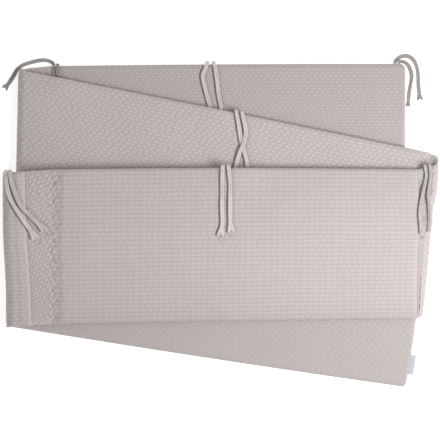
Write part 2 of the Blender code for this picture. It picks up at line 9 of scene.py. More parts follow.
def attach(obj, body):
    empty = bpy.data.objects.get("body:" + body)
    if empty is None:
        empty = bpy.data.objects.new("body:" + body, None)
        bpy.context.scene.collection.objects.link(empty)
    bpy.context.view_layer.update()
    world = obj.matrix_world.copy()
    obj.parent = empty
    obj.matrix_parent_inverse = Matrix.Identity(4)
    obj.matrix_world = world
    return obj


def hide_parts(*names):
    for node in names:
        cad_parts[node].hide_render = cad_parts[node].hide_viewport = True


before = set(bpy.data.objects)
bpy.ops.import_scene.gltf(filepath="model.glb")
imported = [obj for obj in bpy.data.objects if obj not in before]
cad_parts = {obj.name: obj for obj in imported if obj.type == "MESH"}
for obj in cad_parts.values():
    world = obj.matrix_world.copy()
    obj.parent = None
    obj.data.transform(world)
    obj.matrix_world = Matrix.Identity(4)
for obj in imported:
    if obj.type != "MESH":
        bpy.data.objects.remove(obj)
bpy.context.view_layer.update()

# Sizes of the strip and the stack, in metres
STRIP_WIDTH = 0.305
PAD = 0.017
CROWN = 0.0013
HINGE = 0.008
SEAM = 0.0046
RIM_ROUND = 0.010
SEAM_ROUND = 0.015
HINGE_ROUND = 0.007
CROWN_REACH = 0.08
END_CORNER = 0.009
LAYER_PITCH = 0.0196
DRAPE_REACH = 0.155
FOLD_SQUEEZE = 0.14
SQUEEZE_REACH = 0.028
FOLD_RUN_SHARE = 0.75
FOLD_STEPS = 24
BOW_HALF_LENGTH = 0.42

# Lines across the strip: x and y at the tie edge, x and y at the lower edge
CROSS_LINES = {
    "end_a": (0.3688, 0.3208, 0.3688, 0.0142),
    "seam_a": (-0.3415, 0.3165, -0.3435, 0.0102),
    "seam_b": (-0.3877, 0.3125, -0.3930, 0.0075),
    "fold_1": (-0.4068, 0.3075, -0.4134, 0.0050),
    "end_b": (0.4155, 0.1425, 0.3785, -0.1670),
    "fold_2": (0.4328, 0.1265, 0.4013, -0.1773),
    "start_c": (0.3891, 0.1080, 0.3874, -0.1882),
    "end_c": (-0.3296, 0.1062, -0.3361, -0.2000),
    "seam_d": (-0.3870, 0.1034, -0.3780, -0.2020),
    "fold_3": (-0.4327, 0.1015, -0.4314, -0.2050),
    "end_d": (0.4133, -0.0206, 0.3699, -0.3268),
}
LINE_WAVES = {
    "fold_2": (
        (0.0, 0.0), (0.10, 0.001), (0.19, 0.0028), (0.30, -0.0014), (0.48, -0.0022), (0.75, 0.0006),
        (1.0, 0.0),
    ),
    "end_d": ((0.0, -0.0125), (0.25, -0.0055), (0.50, -0.0015), (0.70, 0.0), (1.0, 0.0)),
}
# Shift of a fold's two sheets beside the tie edge, and the share of the width that it fades over
FOLD_SKEW = {"fold_2": (0.0070, -0.0065, 0.25)}
# Hollows pressed into the slack cloth at fold 2: x, y, depth, spread along x, spread along y
HOLLOWS = (
    (0.3985, 0.074, 0.0050, 0.0060, 0.022),
    (0.4020, 0.024, 0.0045, 0.0045, 0.018),
    (0.3985, -0.024, 0.0035, 0.0050, 0.011),
)
# Places where a tie tucked beneath lifts a layer: layer, x, y, height, spread
TUCK_LIFTS = (
    ("b", -0.0110, 0.2190, 0.0038, 0.030),
    ("b", -0.3140, 0.2810, 0.0034, 0.026),
    ("c", 0.0520, 0.1000, 0.0034, 0.024),
    ("c", 0.0250, 0.1000, 0.0034, 0.024),
)
# Outward bow of a layer's two edges at mid length: tie edge, lower edge
EDGE_BOW = {"a": (0.002, 0.0), "b": (0.002, 0.002), "c": (0.004, -0.0015), "d": (0.002, 0.0025)}
# Layers below and above each layer, and the lines that bound it
UNDER = {"a": "", "b": "a", "d": "ab", "c": "abd"}
OVER = {"a": "bdc", "b": "dc", "d": "c", "c": ""}
FOOTPRINTS = {
    "a": ("fold_1", "end_a"), "b": ("fold_1", "fold_2"), "c": ("fold_3", "fold_2"), "d": ("fold_3", "end_d"),
}
FOLDED_PAD = PAD * (1.0 - FOLD_SQUEEZE)
# Folds: layer and line before, layer and line after, outward side, thickness
FOLDS = {
    "fold_1": ("a", "seam_b", "b", "end_b", -1.0, FOLDED_PAD),
    "fold_2": ("b", "end_b", "c", "start_c", 1.0, HINGE),
    "fold_3": ("c", "seam_d", "d", "end_d", -1.0, FOLDED_PAD),
}

# The strip's runs from its free end on panel a: piece, layer, from, to
RUNS = (
    ("panel_a", "a", "end_a", "seam_a"),
    ("hinge_1", "a", "seam_a", "seam_b"),
    ("panel_b", "a", "seam_b", "fold_1 in"),
    ("panel_b", "b", "fold_1 out", "end_b"),
    ("hinge_2", "b", "end_b", "fold_2 in"),
    ("hinge_2", "c", "fold_2 out", "start_c"),
    ("panel_c", "c", "start_c", "end_c"),
    ("hinge_3", "c", "end_c", "seam_d"),
    ("panel_d", "c", "seam_d", "fold_3 in"),
    ("panel_d", "d", "fold_3 out", "end_d"),
)
# Sheets that show
OUTER_SHEET = {"fold_1": "back", "fold_2": "front", "fold_3": "front"}
UPPER_SHEET = {"a": "front", "b": "back", "c": "front", "d": "back"}
# Rows beside a free end and a stitched line, and the spacing of the rest
END_STEPS = (0.0, 0.0003, 0.001, 0.002, 0.0034, 0.0052, 0.0072, 0.0092)
SEAM_STEPS = (0.0, 0.0003, 0.0009, 0.0018, 0.0031, 0.0047, 0.0066)
ROW_SPACING = 0.0020
COLUMN_SPACING = 0.0014
RIM_COLUMNS = (0.0, 0.0004, 0.0012, 0.0024, 0.0038, 0.0054)
BLOCK = 3                # cells joined into one face where the cloth is hidden

# Puffed cloth: bubble length, row pitch, weight of the rows, weight of the bubbles, stagger, height, and
# tone, a shift of the whole panel paler or darker that is painted light and shade
WEAVES = {
    ("panel_a", "front"): (0.0116, 0.00657, 1.5, 1.0, True, 0.00112, -0.28),
    ("panel_b", "back"): (0.0122, 0.0072, 0.9, 0.8, True, 0.00050, 0.16),
    ("panel_c", "front"): (0.0122, 0.0086, 1.2, 0.9, False, 0.00048, 0.06),
    ("panel_d", "front"): (0.0122, 0.0078, 1.0, 1.2, False, 0.00090, 0.14),
    ("panel_d", "back"): (0.0126, 0.0069, 1.2, 0.9, True, 0.00054, -0.36),
}
PLAIN_WEAVE = (0.0120, 0.0070, 1.2, 1.0, True, 0.00084, 0.0)
HINGE_WEAVE = ((-45.0, 120.0), (-124.0, 53.0))   # waves a metre along and across, two directions
HINGE_HEIGHT = 0.0016
# tone of the hinges' cloth, the same painted light and shade shift as the panels' tone
HINGE_TONE = 0.08
HINGE_WANDER = 0.4
BEAD_SHARE = 0.6         # weight of the bubbles in rows that are not staggered
HEIGHT_SPREAD = 0.30
HEIGHT_PATCH = 0.014
DRIFT_ALONG = (0.0010, 0.030)      # size and reach of the weave's drift
DRIFT_ACROSS = (0.0006, 0.045)
WANDER_STRETCH = 0.35
WANDER_REACH = 0.0060
BUBBLE_PAINTED_SHADE_SHARES = {"panel_c": 0.72}                      # how much paler the bubbles are than their ground, which is painted shade between them
# painted shade: panels C and D darker toward their lower edges
LOW_EDGE_PAINTED_SHADES = {"panel_c": 0.45, "panel_d": 0.20}
BUBBLE_WANDER = 1.5      # how far the bubbles of a row drift from a regular spacing
BUBBLE_SHARPNESS = 1.25  # above 1, small bubbles on a wide darker ground
SOFT_LINES = {"end_c": (0.0078, 0.024)}              # thickness and reach of a slack, gathered seam
GATHERS = (("end_c", 0.0015, 0.012, 0.0030), ("seam_d", 0.0004, 0.006, 0.0020))
SMOOTH_BANDS = {"end_a": 0.0090, "seam_d": 0.0035}   # plain cloth beside these lines

# Creases in the slack cloth at fold 2: x, y, direction in degrees, length, width, height
CREASES = (
    (0.4160, 0.1130, -8.0, 0.016, 0.0030, 0.0016),
    (0.4240, 0.1000, -70.0, 0.022, 0.0030, 0.0014),
    (0.4190, 0.0620, -82.0, 0.024, 0.0026, 0.0013),
    (0.4225, 0.0300, -99.0, 0.022, 0.0028, -0.0012),
    (0.4150, 0.0080, -80.0, 0.026, 0.0028, 0.0013),
    (0.3960, 0.1010, -60.0, 0.012, 0.0026, 0.0012),
    (0.3975, -0.0500, -88.0, 0.030, 0.0026, 0.0011),
    (0.3965, -0.1150, -86.0, 0.030, 0.0026, 0.0010),
    (0.3896, 0.0700, -97.0, 0.028, 0.0034, -0.0064),
    (0.3972, 0.0130, -88.0, 0.022, 0.0024, -0.0052),
    (0.3938, -0.0251, -90.0, 0.006, 0.0024, -0.0040),
)
CREASE_PAINTED_LIGHT = 60.0       # change of tone for each metre of a crease's height: painted shade in its hollow, painted highlight on its ridge

# Where the cloth is modelled finely, and how its relief fades
COVERED_FROM = 0.016
COVERED_REACH = 0.012
FOLD_SHOWN = 0.020
RIM_FINE = 0.0090
RIM_COVERED = 0.030
SEAM_FADE = 0.004
EDGE_FADE = 0.0045
GROUND = 0.40             # tone between the bubbles
BUBBLE_MIDDLE = 0.50
PUCKER_HEIGHT = 0.00045
PUCKER_REACH = 0.006
PUCKER_SIZE = 0.0032
PUCKER_START = 0.0012
PUCKER_STRETCH = 0.2
GATHER_STRETCH = 0.7
# painted shade in the gathers' hollows and painted highlight on their ridges
GATHER_PAINTED_LIGHT = 0.25
GATHER_EDGE = 0.006
# reach of the painted shade at the lower edges
LOW_PAINTED_SHADE_REACH = 0.016
CREASE_EDGE = 0.01
CREASE_START = 0.004

# Ties
TAPE_WIDTH = 0.0080
SLIM_TAPE_WIDTH = 0.0066
TAPE = 0.0030
SEAT_GAP = 0.0004
PROBE_SHARES = (-0.5, -0.25, 0.0, 0.25, 0.5)
PROBE_HEIGHT = 0.0104
ROOT_WIDTH = 0.0064
ROOT_REACH = 0.030
TAPE_ROWS = 0.0022
LEVEL_DAMPING = 0.9
CURVE_STEPS = 12
TIP_GAPS = (0.0, 0.0006, 0.0014)     # last rows of a tape, from its tip
TIP_CLEAR = 0.0018

WIDE_END = (
    (0.0, 0.0138, 0.0016), (0.0010, 0.0142, 0.0024), (0.005, 0.0142, 0.0030), (0.011, 0.0122, 0.0030),
    (0.019, 0.0078, 0.0028),
)
BELL_END = (
    (0.0, 0.0118, 0.0018), (0.0010, 0.0124, 0.0028), (0.004, 0.0126, 0.0036), (0.009, 0.0092, 0.0032),
    (0.014, 0.0070, 0.0028),
)
SMALL_END = (
    (0.0, 0.0074, 0.0018), (0.0010, 0.0080, 0.0030), (0.005, 0.0086, 0.0040), (0.010, 0.0064, 0.0032),
    (0.016, 0.0066, 0.0028),
)
PLAIN_END = ((0.0, 0.0078, 0.0026),)
OVER_EDGE = ((0.0006, 0.0000), (0.0030, 0.0006), (0.0052, 0.0050), (0.0030, 0.0102))
CLOSE_OVER_EDGE = ((0.0006, 0.0000), (0.0022, 0.0004), (0.0036, 0.0040), (0.0018, 0.0092))
BESIDE_EDGE = ((0.0008, 0.0000), (0.0040, 0.0000))
TIES = {
    "tie_end_a_outer": ("a", 0.3485, BESIDE_EDGE, "floor", BELL_END, TAPE_WIDTH, (
        (0.3514, 0.3302), (0.3600, 0.3362), (0.3705, 0.3384), (0.3802, 0.3355), (0.3880, 0.3278),
        (0.3930, 0.3160), (0.3957, 0.3012), (0.3962, 0.2847), (0.3974, 0.2682), (0.3995, 0.2490),
    )),
    "tie_end_a_inner": ("a", 0.3565, BESIDE_EDGE, "floor", SMALL_END, TAPE_WIDTH, (
        (0.3610, 0.3272), (0.3685, 0.3256), (0.3755, 0.3195), (0.3804, 0.3095), (0.3826, 0.2969),
        (0.3802, 0.2806), (0.3776, 0.2641), (0.3762, 0.2500), (0.3750, 0.2361),
    )),
    "tie_mid_a_left": ("a", -0.0280, OVER_EDGE, "a", PLAIN_END, TAPE_WIDTH, (
        (-0.0328, 0.3100), (-0.0378, 0.2972), (-0.0355, 0.2818), (-0.0305, 0.2614), (-0.0243, 0.2380),
        (-0.0215, 0.2250), (-0.0203, 0.2150),
    )),
    "tie_mid_a_right": ("a", -0.0155, OVER_EDGE, "a", PLAIN_END, TAPE_WIDTH, (
        (-0.0127, 0.3120), (-0.0112, 0.3000), (-0.0086, 0.2818), (-0.0056, 0.2564), (-0.0022, 0.2390),
        (-0.0005, 0.2260), (0.0003, 0.2150),
    )),
    "tie_fold_1_outer": ("a", -0.3375, BESIDE_EDGE, "floor", BELL_END, TAPE_WIDTH, (
        (-0.3408, 0.3250), (-0.3500, 0.3290), (-0.3648, 0.3294), (-0.3832, 0.3252), (-0.3985, 0.3203),
        (-0.4100, 0.3120), (-0.4185, 0.2985), (-0.4268, 0.2855), (-0.4372, 0.2718),
    )),
    "tie_fold_1_inner": ("a", -0.3285, CLOSE_OVER_EDGE, "a", PLAIN_END, TAPE_WIDTH, (
        (-0.3285, 0.3080), (-0.3262, 0.2990), (-0.3214, 0.2910), (-0.3165, 0.2835), (-0.3125, 0.2765),
        (-0.3098, 0.2690),
    )),
    "tie_mid_b_left": ("b", 0.0285, OVER_EDGE, "b", PLAIN_END, TAPE_WIDTH, (
        (0.0312, 0.2110), (0.0337, 0.1989), (0.0366, 0.1791), (0.0396, 0.1602), (0.0446, 0.1433),
        (0.0492, 0.1274), (0.0511, 0.1115), (0.0530, 0.0920),
    )),
    "tie_mid_b_right": ("b", 0.0400, OVER_EDGE, "b", PLAIN_END, TAPE_WIDTH, (
        (0.0435, 0.2080), (0.0458, 0.1990), (0.0480, 0.1811), (0.0440, 0.1612), (0.0372, 0.1453),
        (0.0313, 0.1274), (0.0277, 0.1115), (0.0240, 0.0920),
    )),
    "tie_fold_2_left": ("c", 0.4030, OVER_EDGE, "c", SMALL_END, SLIM_TAPE_WIDTH, (
        (0.4048, 0.1010), (0.4047, 0.0925), (0.4012, 0.0754), (0.3962, 0.0556), (0.3913, 0.0359),
        (0.3893, 0.0201), (0.3908, 0.0003), (0.3930, -0.0195),
    )),
    "tie_fold_2_right": ("c", 0.4120, OVER_EDGE, "c", SMALL_END, SLIM_TAPE_WIDTH, (
        (0.4130, 0.1035), (0.4130, 0.0905), (0.4100, 0.0715), (0.4080, 0.0556), (0.4093, 0.0398),
        (0.4097, 0.0201), (0.4091, 0.0003), (0.4085, -0.0155),
    )),
    "tie_mid_c_left": ("c", 0.0024, OVER_EDGE, "c", WIDE_END, TAPE_WIDTH, (
        (0.0018, 0.1040), (0.0008, 0.0727), (0.0008, 0.0344), (0.0016, 0.0062), (-0.0004, -0.0100),
        (-0.0032, -0.0245),
    )),
    "tie_mid_c_right": ("c", 0.0134, OVER_EDGE, "c", WIDE_END, TAPE_WIDTH, (
        (0.0143, 0.1040), (0.0164, 0.0796), (0.0166, 0.0344), (0.0166, 0.0062), (0.0176, -0.0060),
        (0.0186, -0.0172),
    )),
    "tie_fold_3_left": ("c", -0.4240, CLOSE_OVER_EDGE, "c", WIDE_END, TAPE_WIDTH, (
        (-0.4236, 0.0940), (-0.4212, 0.0751), (-0.4169, 0.0560), (-0.4082, 0.0377), (-0.3964, 0.0190),
        (-0.3801, -0.0057), (-0.3655, -0.0288),
    )),
    "tie_fold_3_right": ("c", -0.4155, CLOSE_OVER_EDGE, "c", WIDE_END, TAPE_WIDTH, (
        (-0.4146, 0.0940), (-0.4106, 0.0770), (-0.4040, 0.0574), (-0.3940, 0.0360), (-0.3785, 0.0185),
        (-0.3652, 0.0052), (-0.3465, -0.0128),
    )),
}
TIE_CROSSINGS = (("tie_mid_b_right", 0.0425, 0.1560, 0.0044, 0.020),)

# Section of a creased tape: share of its half width, and shares of its half thickness above and below
TAPE_SECTION = (
    (1.00, 0.00, 0.00), (0.93, 0.50, -0.60), (0.74, 0.88, -0.85), (0.48, 1.00, -0.95), (0.24, 0.78, -0.95),
    (0.06, 0.36, -0.95), (-0.12, 0.62, -0.95), (-0.40, 1.00, -0.95), (-0.72, 0.90, -0.85),
    (-0.93, 0.50, -0.60), (-1.00, 0.00, 0.00),
)
ROLLS = ((0.20, 0.021, 1.0), (0.12, 0.009, 2.0))     # a tape's roll: angle, length, share of its seed
ROLL_END = 0.02
SWELL = 0.06
SWELL_LENGTH = 0.013
FAN_REACH = 0.012
FAN_FOLD = 0.35
FAN_WAVES = 9.0
NOTCH = 0.0040
TAPE_TONE = 0.77
# painted highlight on the tape's raised parts, leaving its crease darker
TAPE_PAINTED_HIGHLIGHT = 0.21
TAPE_TONE_FAN = 0.05
TIE_LIFT = 0.0016        # how far a tie stands off the bubbles
# Tone of the ties that the photo shows darker than the rest
# painted shade: the tapes are one cloth, and these ties are darkened to stand in for shade
TIE_PAINTED_SHADES = {
    "tie_end_a_outer": -0.62, "tie_end_a_inner": -0.62, "tie_fold_1_outer": -0.62, "tie_fold_1_inner": -0.74,
    "tie_fold_2_left": -0.27, "tie_fold_2_right": -0.38, "tie_fold_3_right": -0.20,
}
GROOVE_DEPTH = 0.0026    # how far a tie's near edge presses the cloth down
GROOVE_REACH = 0.0022
FAR_GROOVE = 0.35        # share of that depth on the tie's other side
GROOVE_OUT = 0.0012

# Label
LABEL_SHARE = 0.853
LABEL_WIDTH = 0.040
LABEL_REACH = 0.011
LABEL_DROOP = 0.0016
LABEL_ROWS = 41
LABEL_COLUMNS = 15
LABEL_WAVE = 0.0005
LABEL_THIN = 0.0007
LABEL_SWELL = 0.0012
LABEL_SWELL_SHARE = 0.7
LABEL_TIP_SHARE = 0.3
LABEL_SIDE_SHARE = 0.03
LABEL_SIDE_START = 0.004
LABEL_HEM = 0.05
LABEL_TONE = 0.7
LABEL_HEM_TONE = 0.4

# Camera and light
CAMERA_PLACE = (-0.0031, 0.0082, 3.0)
VIEW_WIDTH = 0.886       # width of the floor that the camera sees
SENSOR = 36.0
KEY_PLACE = (0.90, -0.27, 1.35)
KEY_WIDTH = 0.75
KEY_POWER = 21.5
SKY_STRENGTH = 0.52


def smooth(value):
    value = np.clip(value, 0.0, 1.0)
    return value * value * (3.0 - 2.0 * value)


def bell(first, second):
    return np.exp(-0.5 * (first * first + second * second))


def round_over(distance, reach):
    share = np.clip(distance / reach, 0.0, 1.0)
    return np.sqrt(1.0 - (1.0 - share) ** 2)


def across(name, share):
    top_x, top_y, low_x, low_y = CROSS_LINES[name]
    x = top_x + (low_x - top_x) * share
    y = top_y + (low_y - top_y) * share
    if name in LINE_WAVES:
        shares, shifts = zip(*LINE_WAVES[name])
        x = x + np.interp(share, shares, shifts)
    return np.stack((x, y), axis=-1)


def outline(layer):
    left, right = FOOTPRINTS[layer]
    return [across(left, 0.0), across(left, 1.0), across(right, 1.0), across(right, 0.0)]


OUTLINES = {layer: outline(layer) for layer in FOOTPRINTS}


def outline_distance(points, corners):
    """Distances outside a convex outline (positive) or inside it (negative)."""
    best = np.full(points.shape[:-1], np.inf)
    inside = np.ones(points.shape[:-1], dtype=bool)
    for start, end in zip(corners, corners[1:] + corners[:1]):
        side = end - start
        offset = points - start
        inside &= side[0] * offset[..., 1] - side[1] * offset[..., 0] >= 0.0
        along = np.clip((offset @ side) / (side @ side), 0.0, 1.0)
        best = np.minimum(best, np.linalg.norm(offset - side * along[..., None], axis=-1))
    return np.where(inside, -best, best)


def height(layer, points):
    """Middle height of a layer: it rests on the layers below and sinks past their edges."""
    total = np.full(points.shape[:-1], PAD / 2.0)
    for below in UNDER[layer]:
        past = np.maximum(outline_distance(points, OUTLINES[below]), 0.0)
        total = total + LAYER_PITCH * (1.0 - smooth(past / DRAPE_REACH))
    for lifted, x, y, rise, spread in TUCK_LIFTS:
        if lifted == layer:
            total = total + rise * bell((points[..., 0] - x) / spread, (points[..., 1] - y) / spread)
    if layer == "c":
        for x, y, depth, spread_x, spread_y in HOLLOWS:
            total = total - depth * bell((points[..., 0] - x) / spread_x, (points[..., 1] - y) / spread_y)
    return total


def layer_points(layer, plan, share):
    bow = np.maximum(0.0, 1.0 - (plan[..., 0] / BOW_HALF_LENGTH) ** 2)
    top_bow, low_bow = EDGE_BOW[layer]
    shift = bow * (top_bow * (1.0 - share) - low_bow * share)
    placed = np.stack((plan[..., 0], plan[..., 1] + shift), axis=-1)
    return np.concatenate((placed, height(layer, placed)[..., None]), axis=-1)


def fold_plan(name, share):
    layer_in, seam_in, layer_out, seam_out, outward, thickness = FOLDS[name]
    edge = np.minimum(share, 1.0 - share) * STRIP_WIDTH
    inset = 0.5 * thickness * round_over(edge, RIM_ROUND)
    apex = across(name, share)
    apex[..., 0] -= outward * inset
    shift_in, shift_out, faded = FOLD_SKEW.get(name, (0.0, 0.0, 1.0))
    aside = np.stack((np.zeros_like(share), smooth(1.0 - share / faded)), axis=-1)
    apex_in = apex + shift_in * aside
    apex_out = apex + shift_out * aside
    to_in = across(seam_in, share) - apex_in
    to_out = across(seam_out, share) - apex_out
    run_in = np.linalg.norm(to_in, axis=-1)
    run_out = np.linalg.norm(to_out, axis=-1)
    rise = np.abs(height(layer_out, apex) - height(layer_in, apex))
    reach = np.minimum(0.5 * rise, FOLD_RUN_SHARE * np.minimum(run_in, run_out))
    plan_in = apex_in + to_in * (reach / run_in)[..., None]
    return apex, plan_in, apex_out + to_out * (reach / run_out)[..., None]


def plan_at(name, share):
    if name.endswith(" in"):
        return fold_plan(name[:-3], share)[1]
    if name.endswith(" out"):
        return fold_plan(name[:-4], share)[2]
    return across(name, share)


def free_end_share(share, distance):
    pull = END_CORNER * (1.0 - round_over(distance, END_CORNER)) / STRIP_WIDTH
    return pull + share * (1.0 - 2.0 * pull)


def steps_beside(name):
    if name.startswith("end_a") or name.startswith("end_d"):
        return END_STEPS
    if name.endswith(" in") or name.endswith(" out"):
        return (0.0,)
    return SEAM_STEPS


def run_rows(run, shares):
    """Rows of points along one flat run of a layer."""
    _, layer, first, last = run
    length = np.linalg.norm(plan_at(last, shares) - plan_at(first, shares), axis=-1)
    first_steps = steps_beside(first)
    last_steps = steps_beside(last)
    gap = length - last_steps[-1] - first_steps[-1]
    inner = max(1, round(float(gap.mean()) / ROW_SPACING))
    steps = [np.full_like(length, step) for step in first_steps]
    steps += [first_steps[-1] + gap * (row / inner) for row in range(1, inner)]
    steps += [length - step for step in reversed(last_steps)]
    rows = []
    for step in steps:
        placed = shares
        if first == "end_a":
            placed = free_end_share(shares, step)
        if last == "end_d":
            placed = free_end_share(shares, length - step)
        start = plan_at(first, placed)
        plan = start + (plan_at(last, placed) - start) * (step / length)[:, None]
        rows.append(layer_points(layer, plan, placed))
    return rows


def fold_rows(name, shares):
    """Rows round a fold's bend between its two inner ends, both left out."""
    layer_in, _, layer_out, _, _, _ = FOLDS[name]
    apex, plan_in, plan_out = fold_plan(name, shares)
    start = layer_points(layer_in, plan_in, shares)
    end = layer_points(layer_out, plan_out, shares)
    middle = (start + end) / 2.0
    reach = np.zeros_like(middle)
    reach[:, 0] = apex[:, 0] - middle[:, 0]
    rows = []
    for step in range(1, FOLD_STEPS):
        angle = math.pi * (step / FOLD_STEPS - 0.5)
        rows.append(middle + (end - start) * (0.5 * math.sin(angle)) + reach * math.cos(angle))
    return rows


def strip_grid(shares):
    """Middle surface of the strip, and for each row its layer or fold, its flatness and its piece."""
    rows = []
    tags = []
    flat = []
    pieces = {}
    lines = {}
    for run in RUNS:
        piece, layer, first, last = run
        if first.endswith(" out"):
            name = first[:-4]
            bend = fold_rows(name, shares)
            lines[name] = len(rows) + len(bend) // 2
            rows += bend
            tags += [name] * len(bend)
            flat += [1.0 - math.cos(math.pi * (step / FOLD_STEPS - 0.5)) for step in range(1, FOLD_STEPS)]
        elif rows:
            rows.pop()
            tags.pop()
            flat.pop()
        if piece not in pieces:
            pieces[piece] = [len(rows), None]
            lines[first] = len(rows)
        laid = run_rows(run, shares)
        rows += laid
        tags += [layer] * len(laid)
        flat += [1.0] * len(laid)
        pieces[piece][1] = len(rows) - 1
        lines[last] = len(rows) - 1
    return np.array(rows), tags, np.array(flat), pieces, lines


def unit(vectors):
    return vectors / np.maximum(np.linalg.norm(vectors, axis=-1, keepdims=True), 1e-12)


def grid_normals(grid):
    """Unit normals of a grid of points, facing up on layer a."""
    along = np.zeros_like(grid)
    step = unit(grid[1:] - grid[:-1])
    along[1:-1] = step[1:] + step[:-1]
    along[0] = step[0]
    along[-1] = step[-1]
    side = np.zeros_like(grid)
    step = unit(grid[:, 1:] - grid[:, :-1])
    side[:, 1:-1] = step[:, 1:] + step[:, :-1]
    side[:, 0] = step[:, 0]
    side[:, -1] = step[:, -1]
    return unit(np.cross(along, side))


def travelled_along(grid):
    travelled = np.zeros(grid.shape[:2])
    travelled[1:] = np.cumsum(np.linalg.norm(grid[1:] - grid[:-1], axis=-1), axis=0)
    return travelled


def beside_line(name, distance, full, reach):
    """Thickness of the cloth at a distance from a stitched line."""
    if name in SOFT_LINES:
        least, soft_reach = SOFT_LINES[name]
        return least + (full - least) * smooth(distance / soft_reach)
    return SEAM + (full - SEAM) * round_over(distance, reach)


def half_thickness(travelled, edges, pieces, lines):
    """Half thickness and crown at every point of the strip."""
    half = np.zeros(travelled.shape)
    crown = np.zeros(travelled.shape)
    rim = round_over(edges, RIM_ROUND)[None, :]
    names = {row: name for name, row in lines.items() if name not in FOLDS}
    for piece, (first, last) in pieces.items():
        rows = slice(first, last + 1)
        before = travelled[rows] - travelled[first]
        after = travelled[last] - travelled[rows]
        if piece.startswith("hinge"):
            thick = np.minimum(
                beside_line(names[first], before, HINGE, HINGE_ROUND),
                beside_line(names[last], after, HINGE, HINGE_ROUND),
            )
            half[rows] = 0.5 * thick * rim
            continue
        thick = np.full_like(before, PAD)
        if first > 0:
            thick = np.minimum(thick, beside_line(names[first], before, PAD, SEAM_ROUND))
        if last < len(travelled) - 1:
            thick = np.minimum(thick, beside_line(names[last], after, PAD, SEAM_ROUND))
        if first == 0:
            thick = thick * round_over(before, RIM_ROUND)
        if last == len(travelled) - 1:
            thick = thick * round_over(after, RIM_ROUND)
        bent = np.zeros_like(before)
        for name in FOLDS:
            distance = travelled[rows] - travelled[lines[name]]
            bent = np.maximum(bent, np.exp(-((distance / SQUEEZE_REACH) ** 2)))
        half[rows] = 0.5 * thick * (1.0 - FOLD_SQUEEZE * bent) * rim
        fullness = smooth(before / CROWN_REACH) * smooth(after / CROWN_REACH)
        crown[rows] = CROWN * fullness * smooth(edges / CROWN_REACH)[None, :] * (1.0 - bent)
    return half, crown


def ripple(first, second, size, seed):
    """Smooth uneven waves between about -1 and 1, a few times the given size apart."""
    total = 0.0
    for index in range(5):
        turn = seed * 1.7 + index * 2.399
        stretch = (1.0 + 0.37 * index) / size
        line = first * math.cos(turn) + second * math.sin(turn)
        total = total + np.sin(line * stretch + seed * 3.1 + index)
    return total / 3.0


def bubbles(piece, sheet, along, sideways):
    """Puffed relief between 0 and 1, its height and its tone."""
    shift_along = along + DRIFT_ALONG[0] * ripple(along, sideways, DRIFT_ALONG[1], 1.0)
    shift_side = sideways + DRIFT_ACROSS[0] * ripple(along, sideways, DRIFT_ACROSS[1], 2.0)
    wander = BUBBLE_WANDER * ripple(WANDER_STRETCH * along, sideways, WANDER_REACH, 6.0)
    if piece.startswith("hinge"):
        (along_1, side_1), (along_2, side_2) = HINGE_WEAVE
        first = 2.0 * math.pi * (along_1 * shift_along + side_1 * shift_side) + HINGE_WANDER * wander
        second = 2.0 * math.pi * (along_2 * shift_along + side_2 * shift_side) - HINGE_WANDER * wander
        wave = np.cos(first) + np.cos(second) + np.cos(first - second)
        tall, tone = HINGE_HEIGHT, HINGE_TONE
        lowest, highest = -1.5, 3.0
    else:
        weave = WEAVES.get((piece, sheet), PLAIN_WEAVE)
        length, pitch, row_weight, bubble_weight, stagger, tall, tone = weave
        row = 2.0 * math.pi * shift_side / pitch
        beads = 2.0 * bubble_weight * np.cos(2.0 * math.pi * shift_along / length + wander)
        if stagger:
            wave = row_weight * np.cos(row) + beads * np.cos(row / 2.0)
            lowest = -row_weight - bubble_weight ** 2 / (4.0 * row_weight)
        else:
            wave = row_weight * np.cos(row) + beads * 0.5 * (1.0 + np.cos(row)) * BEAD_SHARE
            lowest = -row_weight
        highest = float(wave.max())
    puff = np.clip((wave - lowest) / (highest - lowest), 0.0, 1.0) ** BUBBLE_SHARPNESS
    tall = tall * (1.0 + HEIGHT_SPREAD * ripple(along, sideways, HEIGHT_PATCH, 3.0))
    return puff, tall, tone


def crease_lift(points):
    """Uneven lift of the slack cloth at fold 2."""
    lift = np.zeros(points.shape[:-1])
    for x, y, direction, length, width, rise in CREASES:
        turn = math.radians(direction)
        away = points[..., :2] - np.array((x, y))
        along = away[..., 0] * math.cos(turn) + away[..., 1] * math.sin(turn)
        beside = -away[..., 0] * math.sin(turn) + away[..., 1] * math.cos(turn)
        lift += rise * bell(along / (0.5 * length), beside / width)
    return lift


def strip_columns():
    """Distances of the columns from the tie edge."""
    beside = np.array(RIM_COLUMNS)
    inner = STRIP_WIDTH - 2.0 * beside[-1]
    count = round(inner / COLUMN_SPACING)
    middle = beside[-1] + inner * np.arange(1, count) / count
    return np.concatenate((beside, middle, STRIP_WIDTH - beside[::-1]))


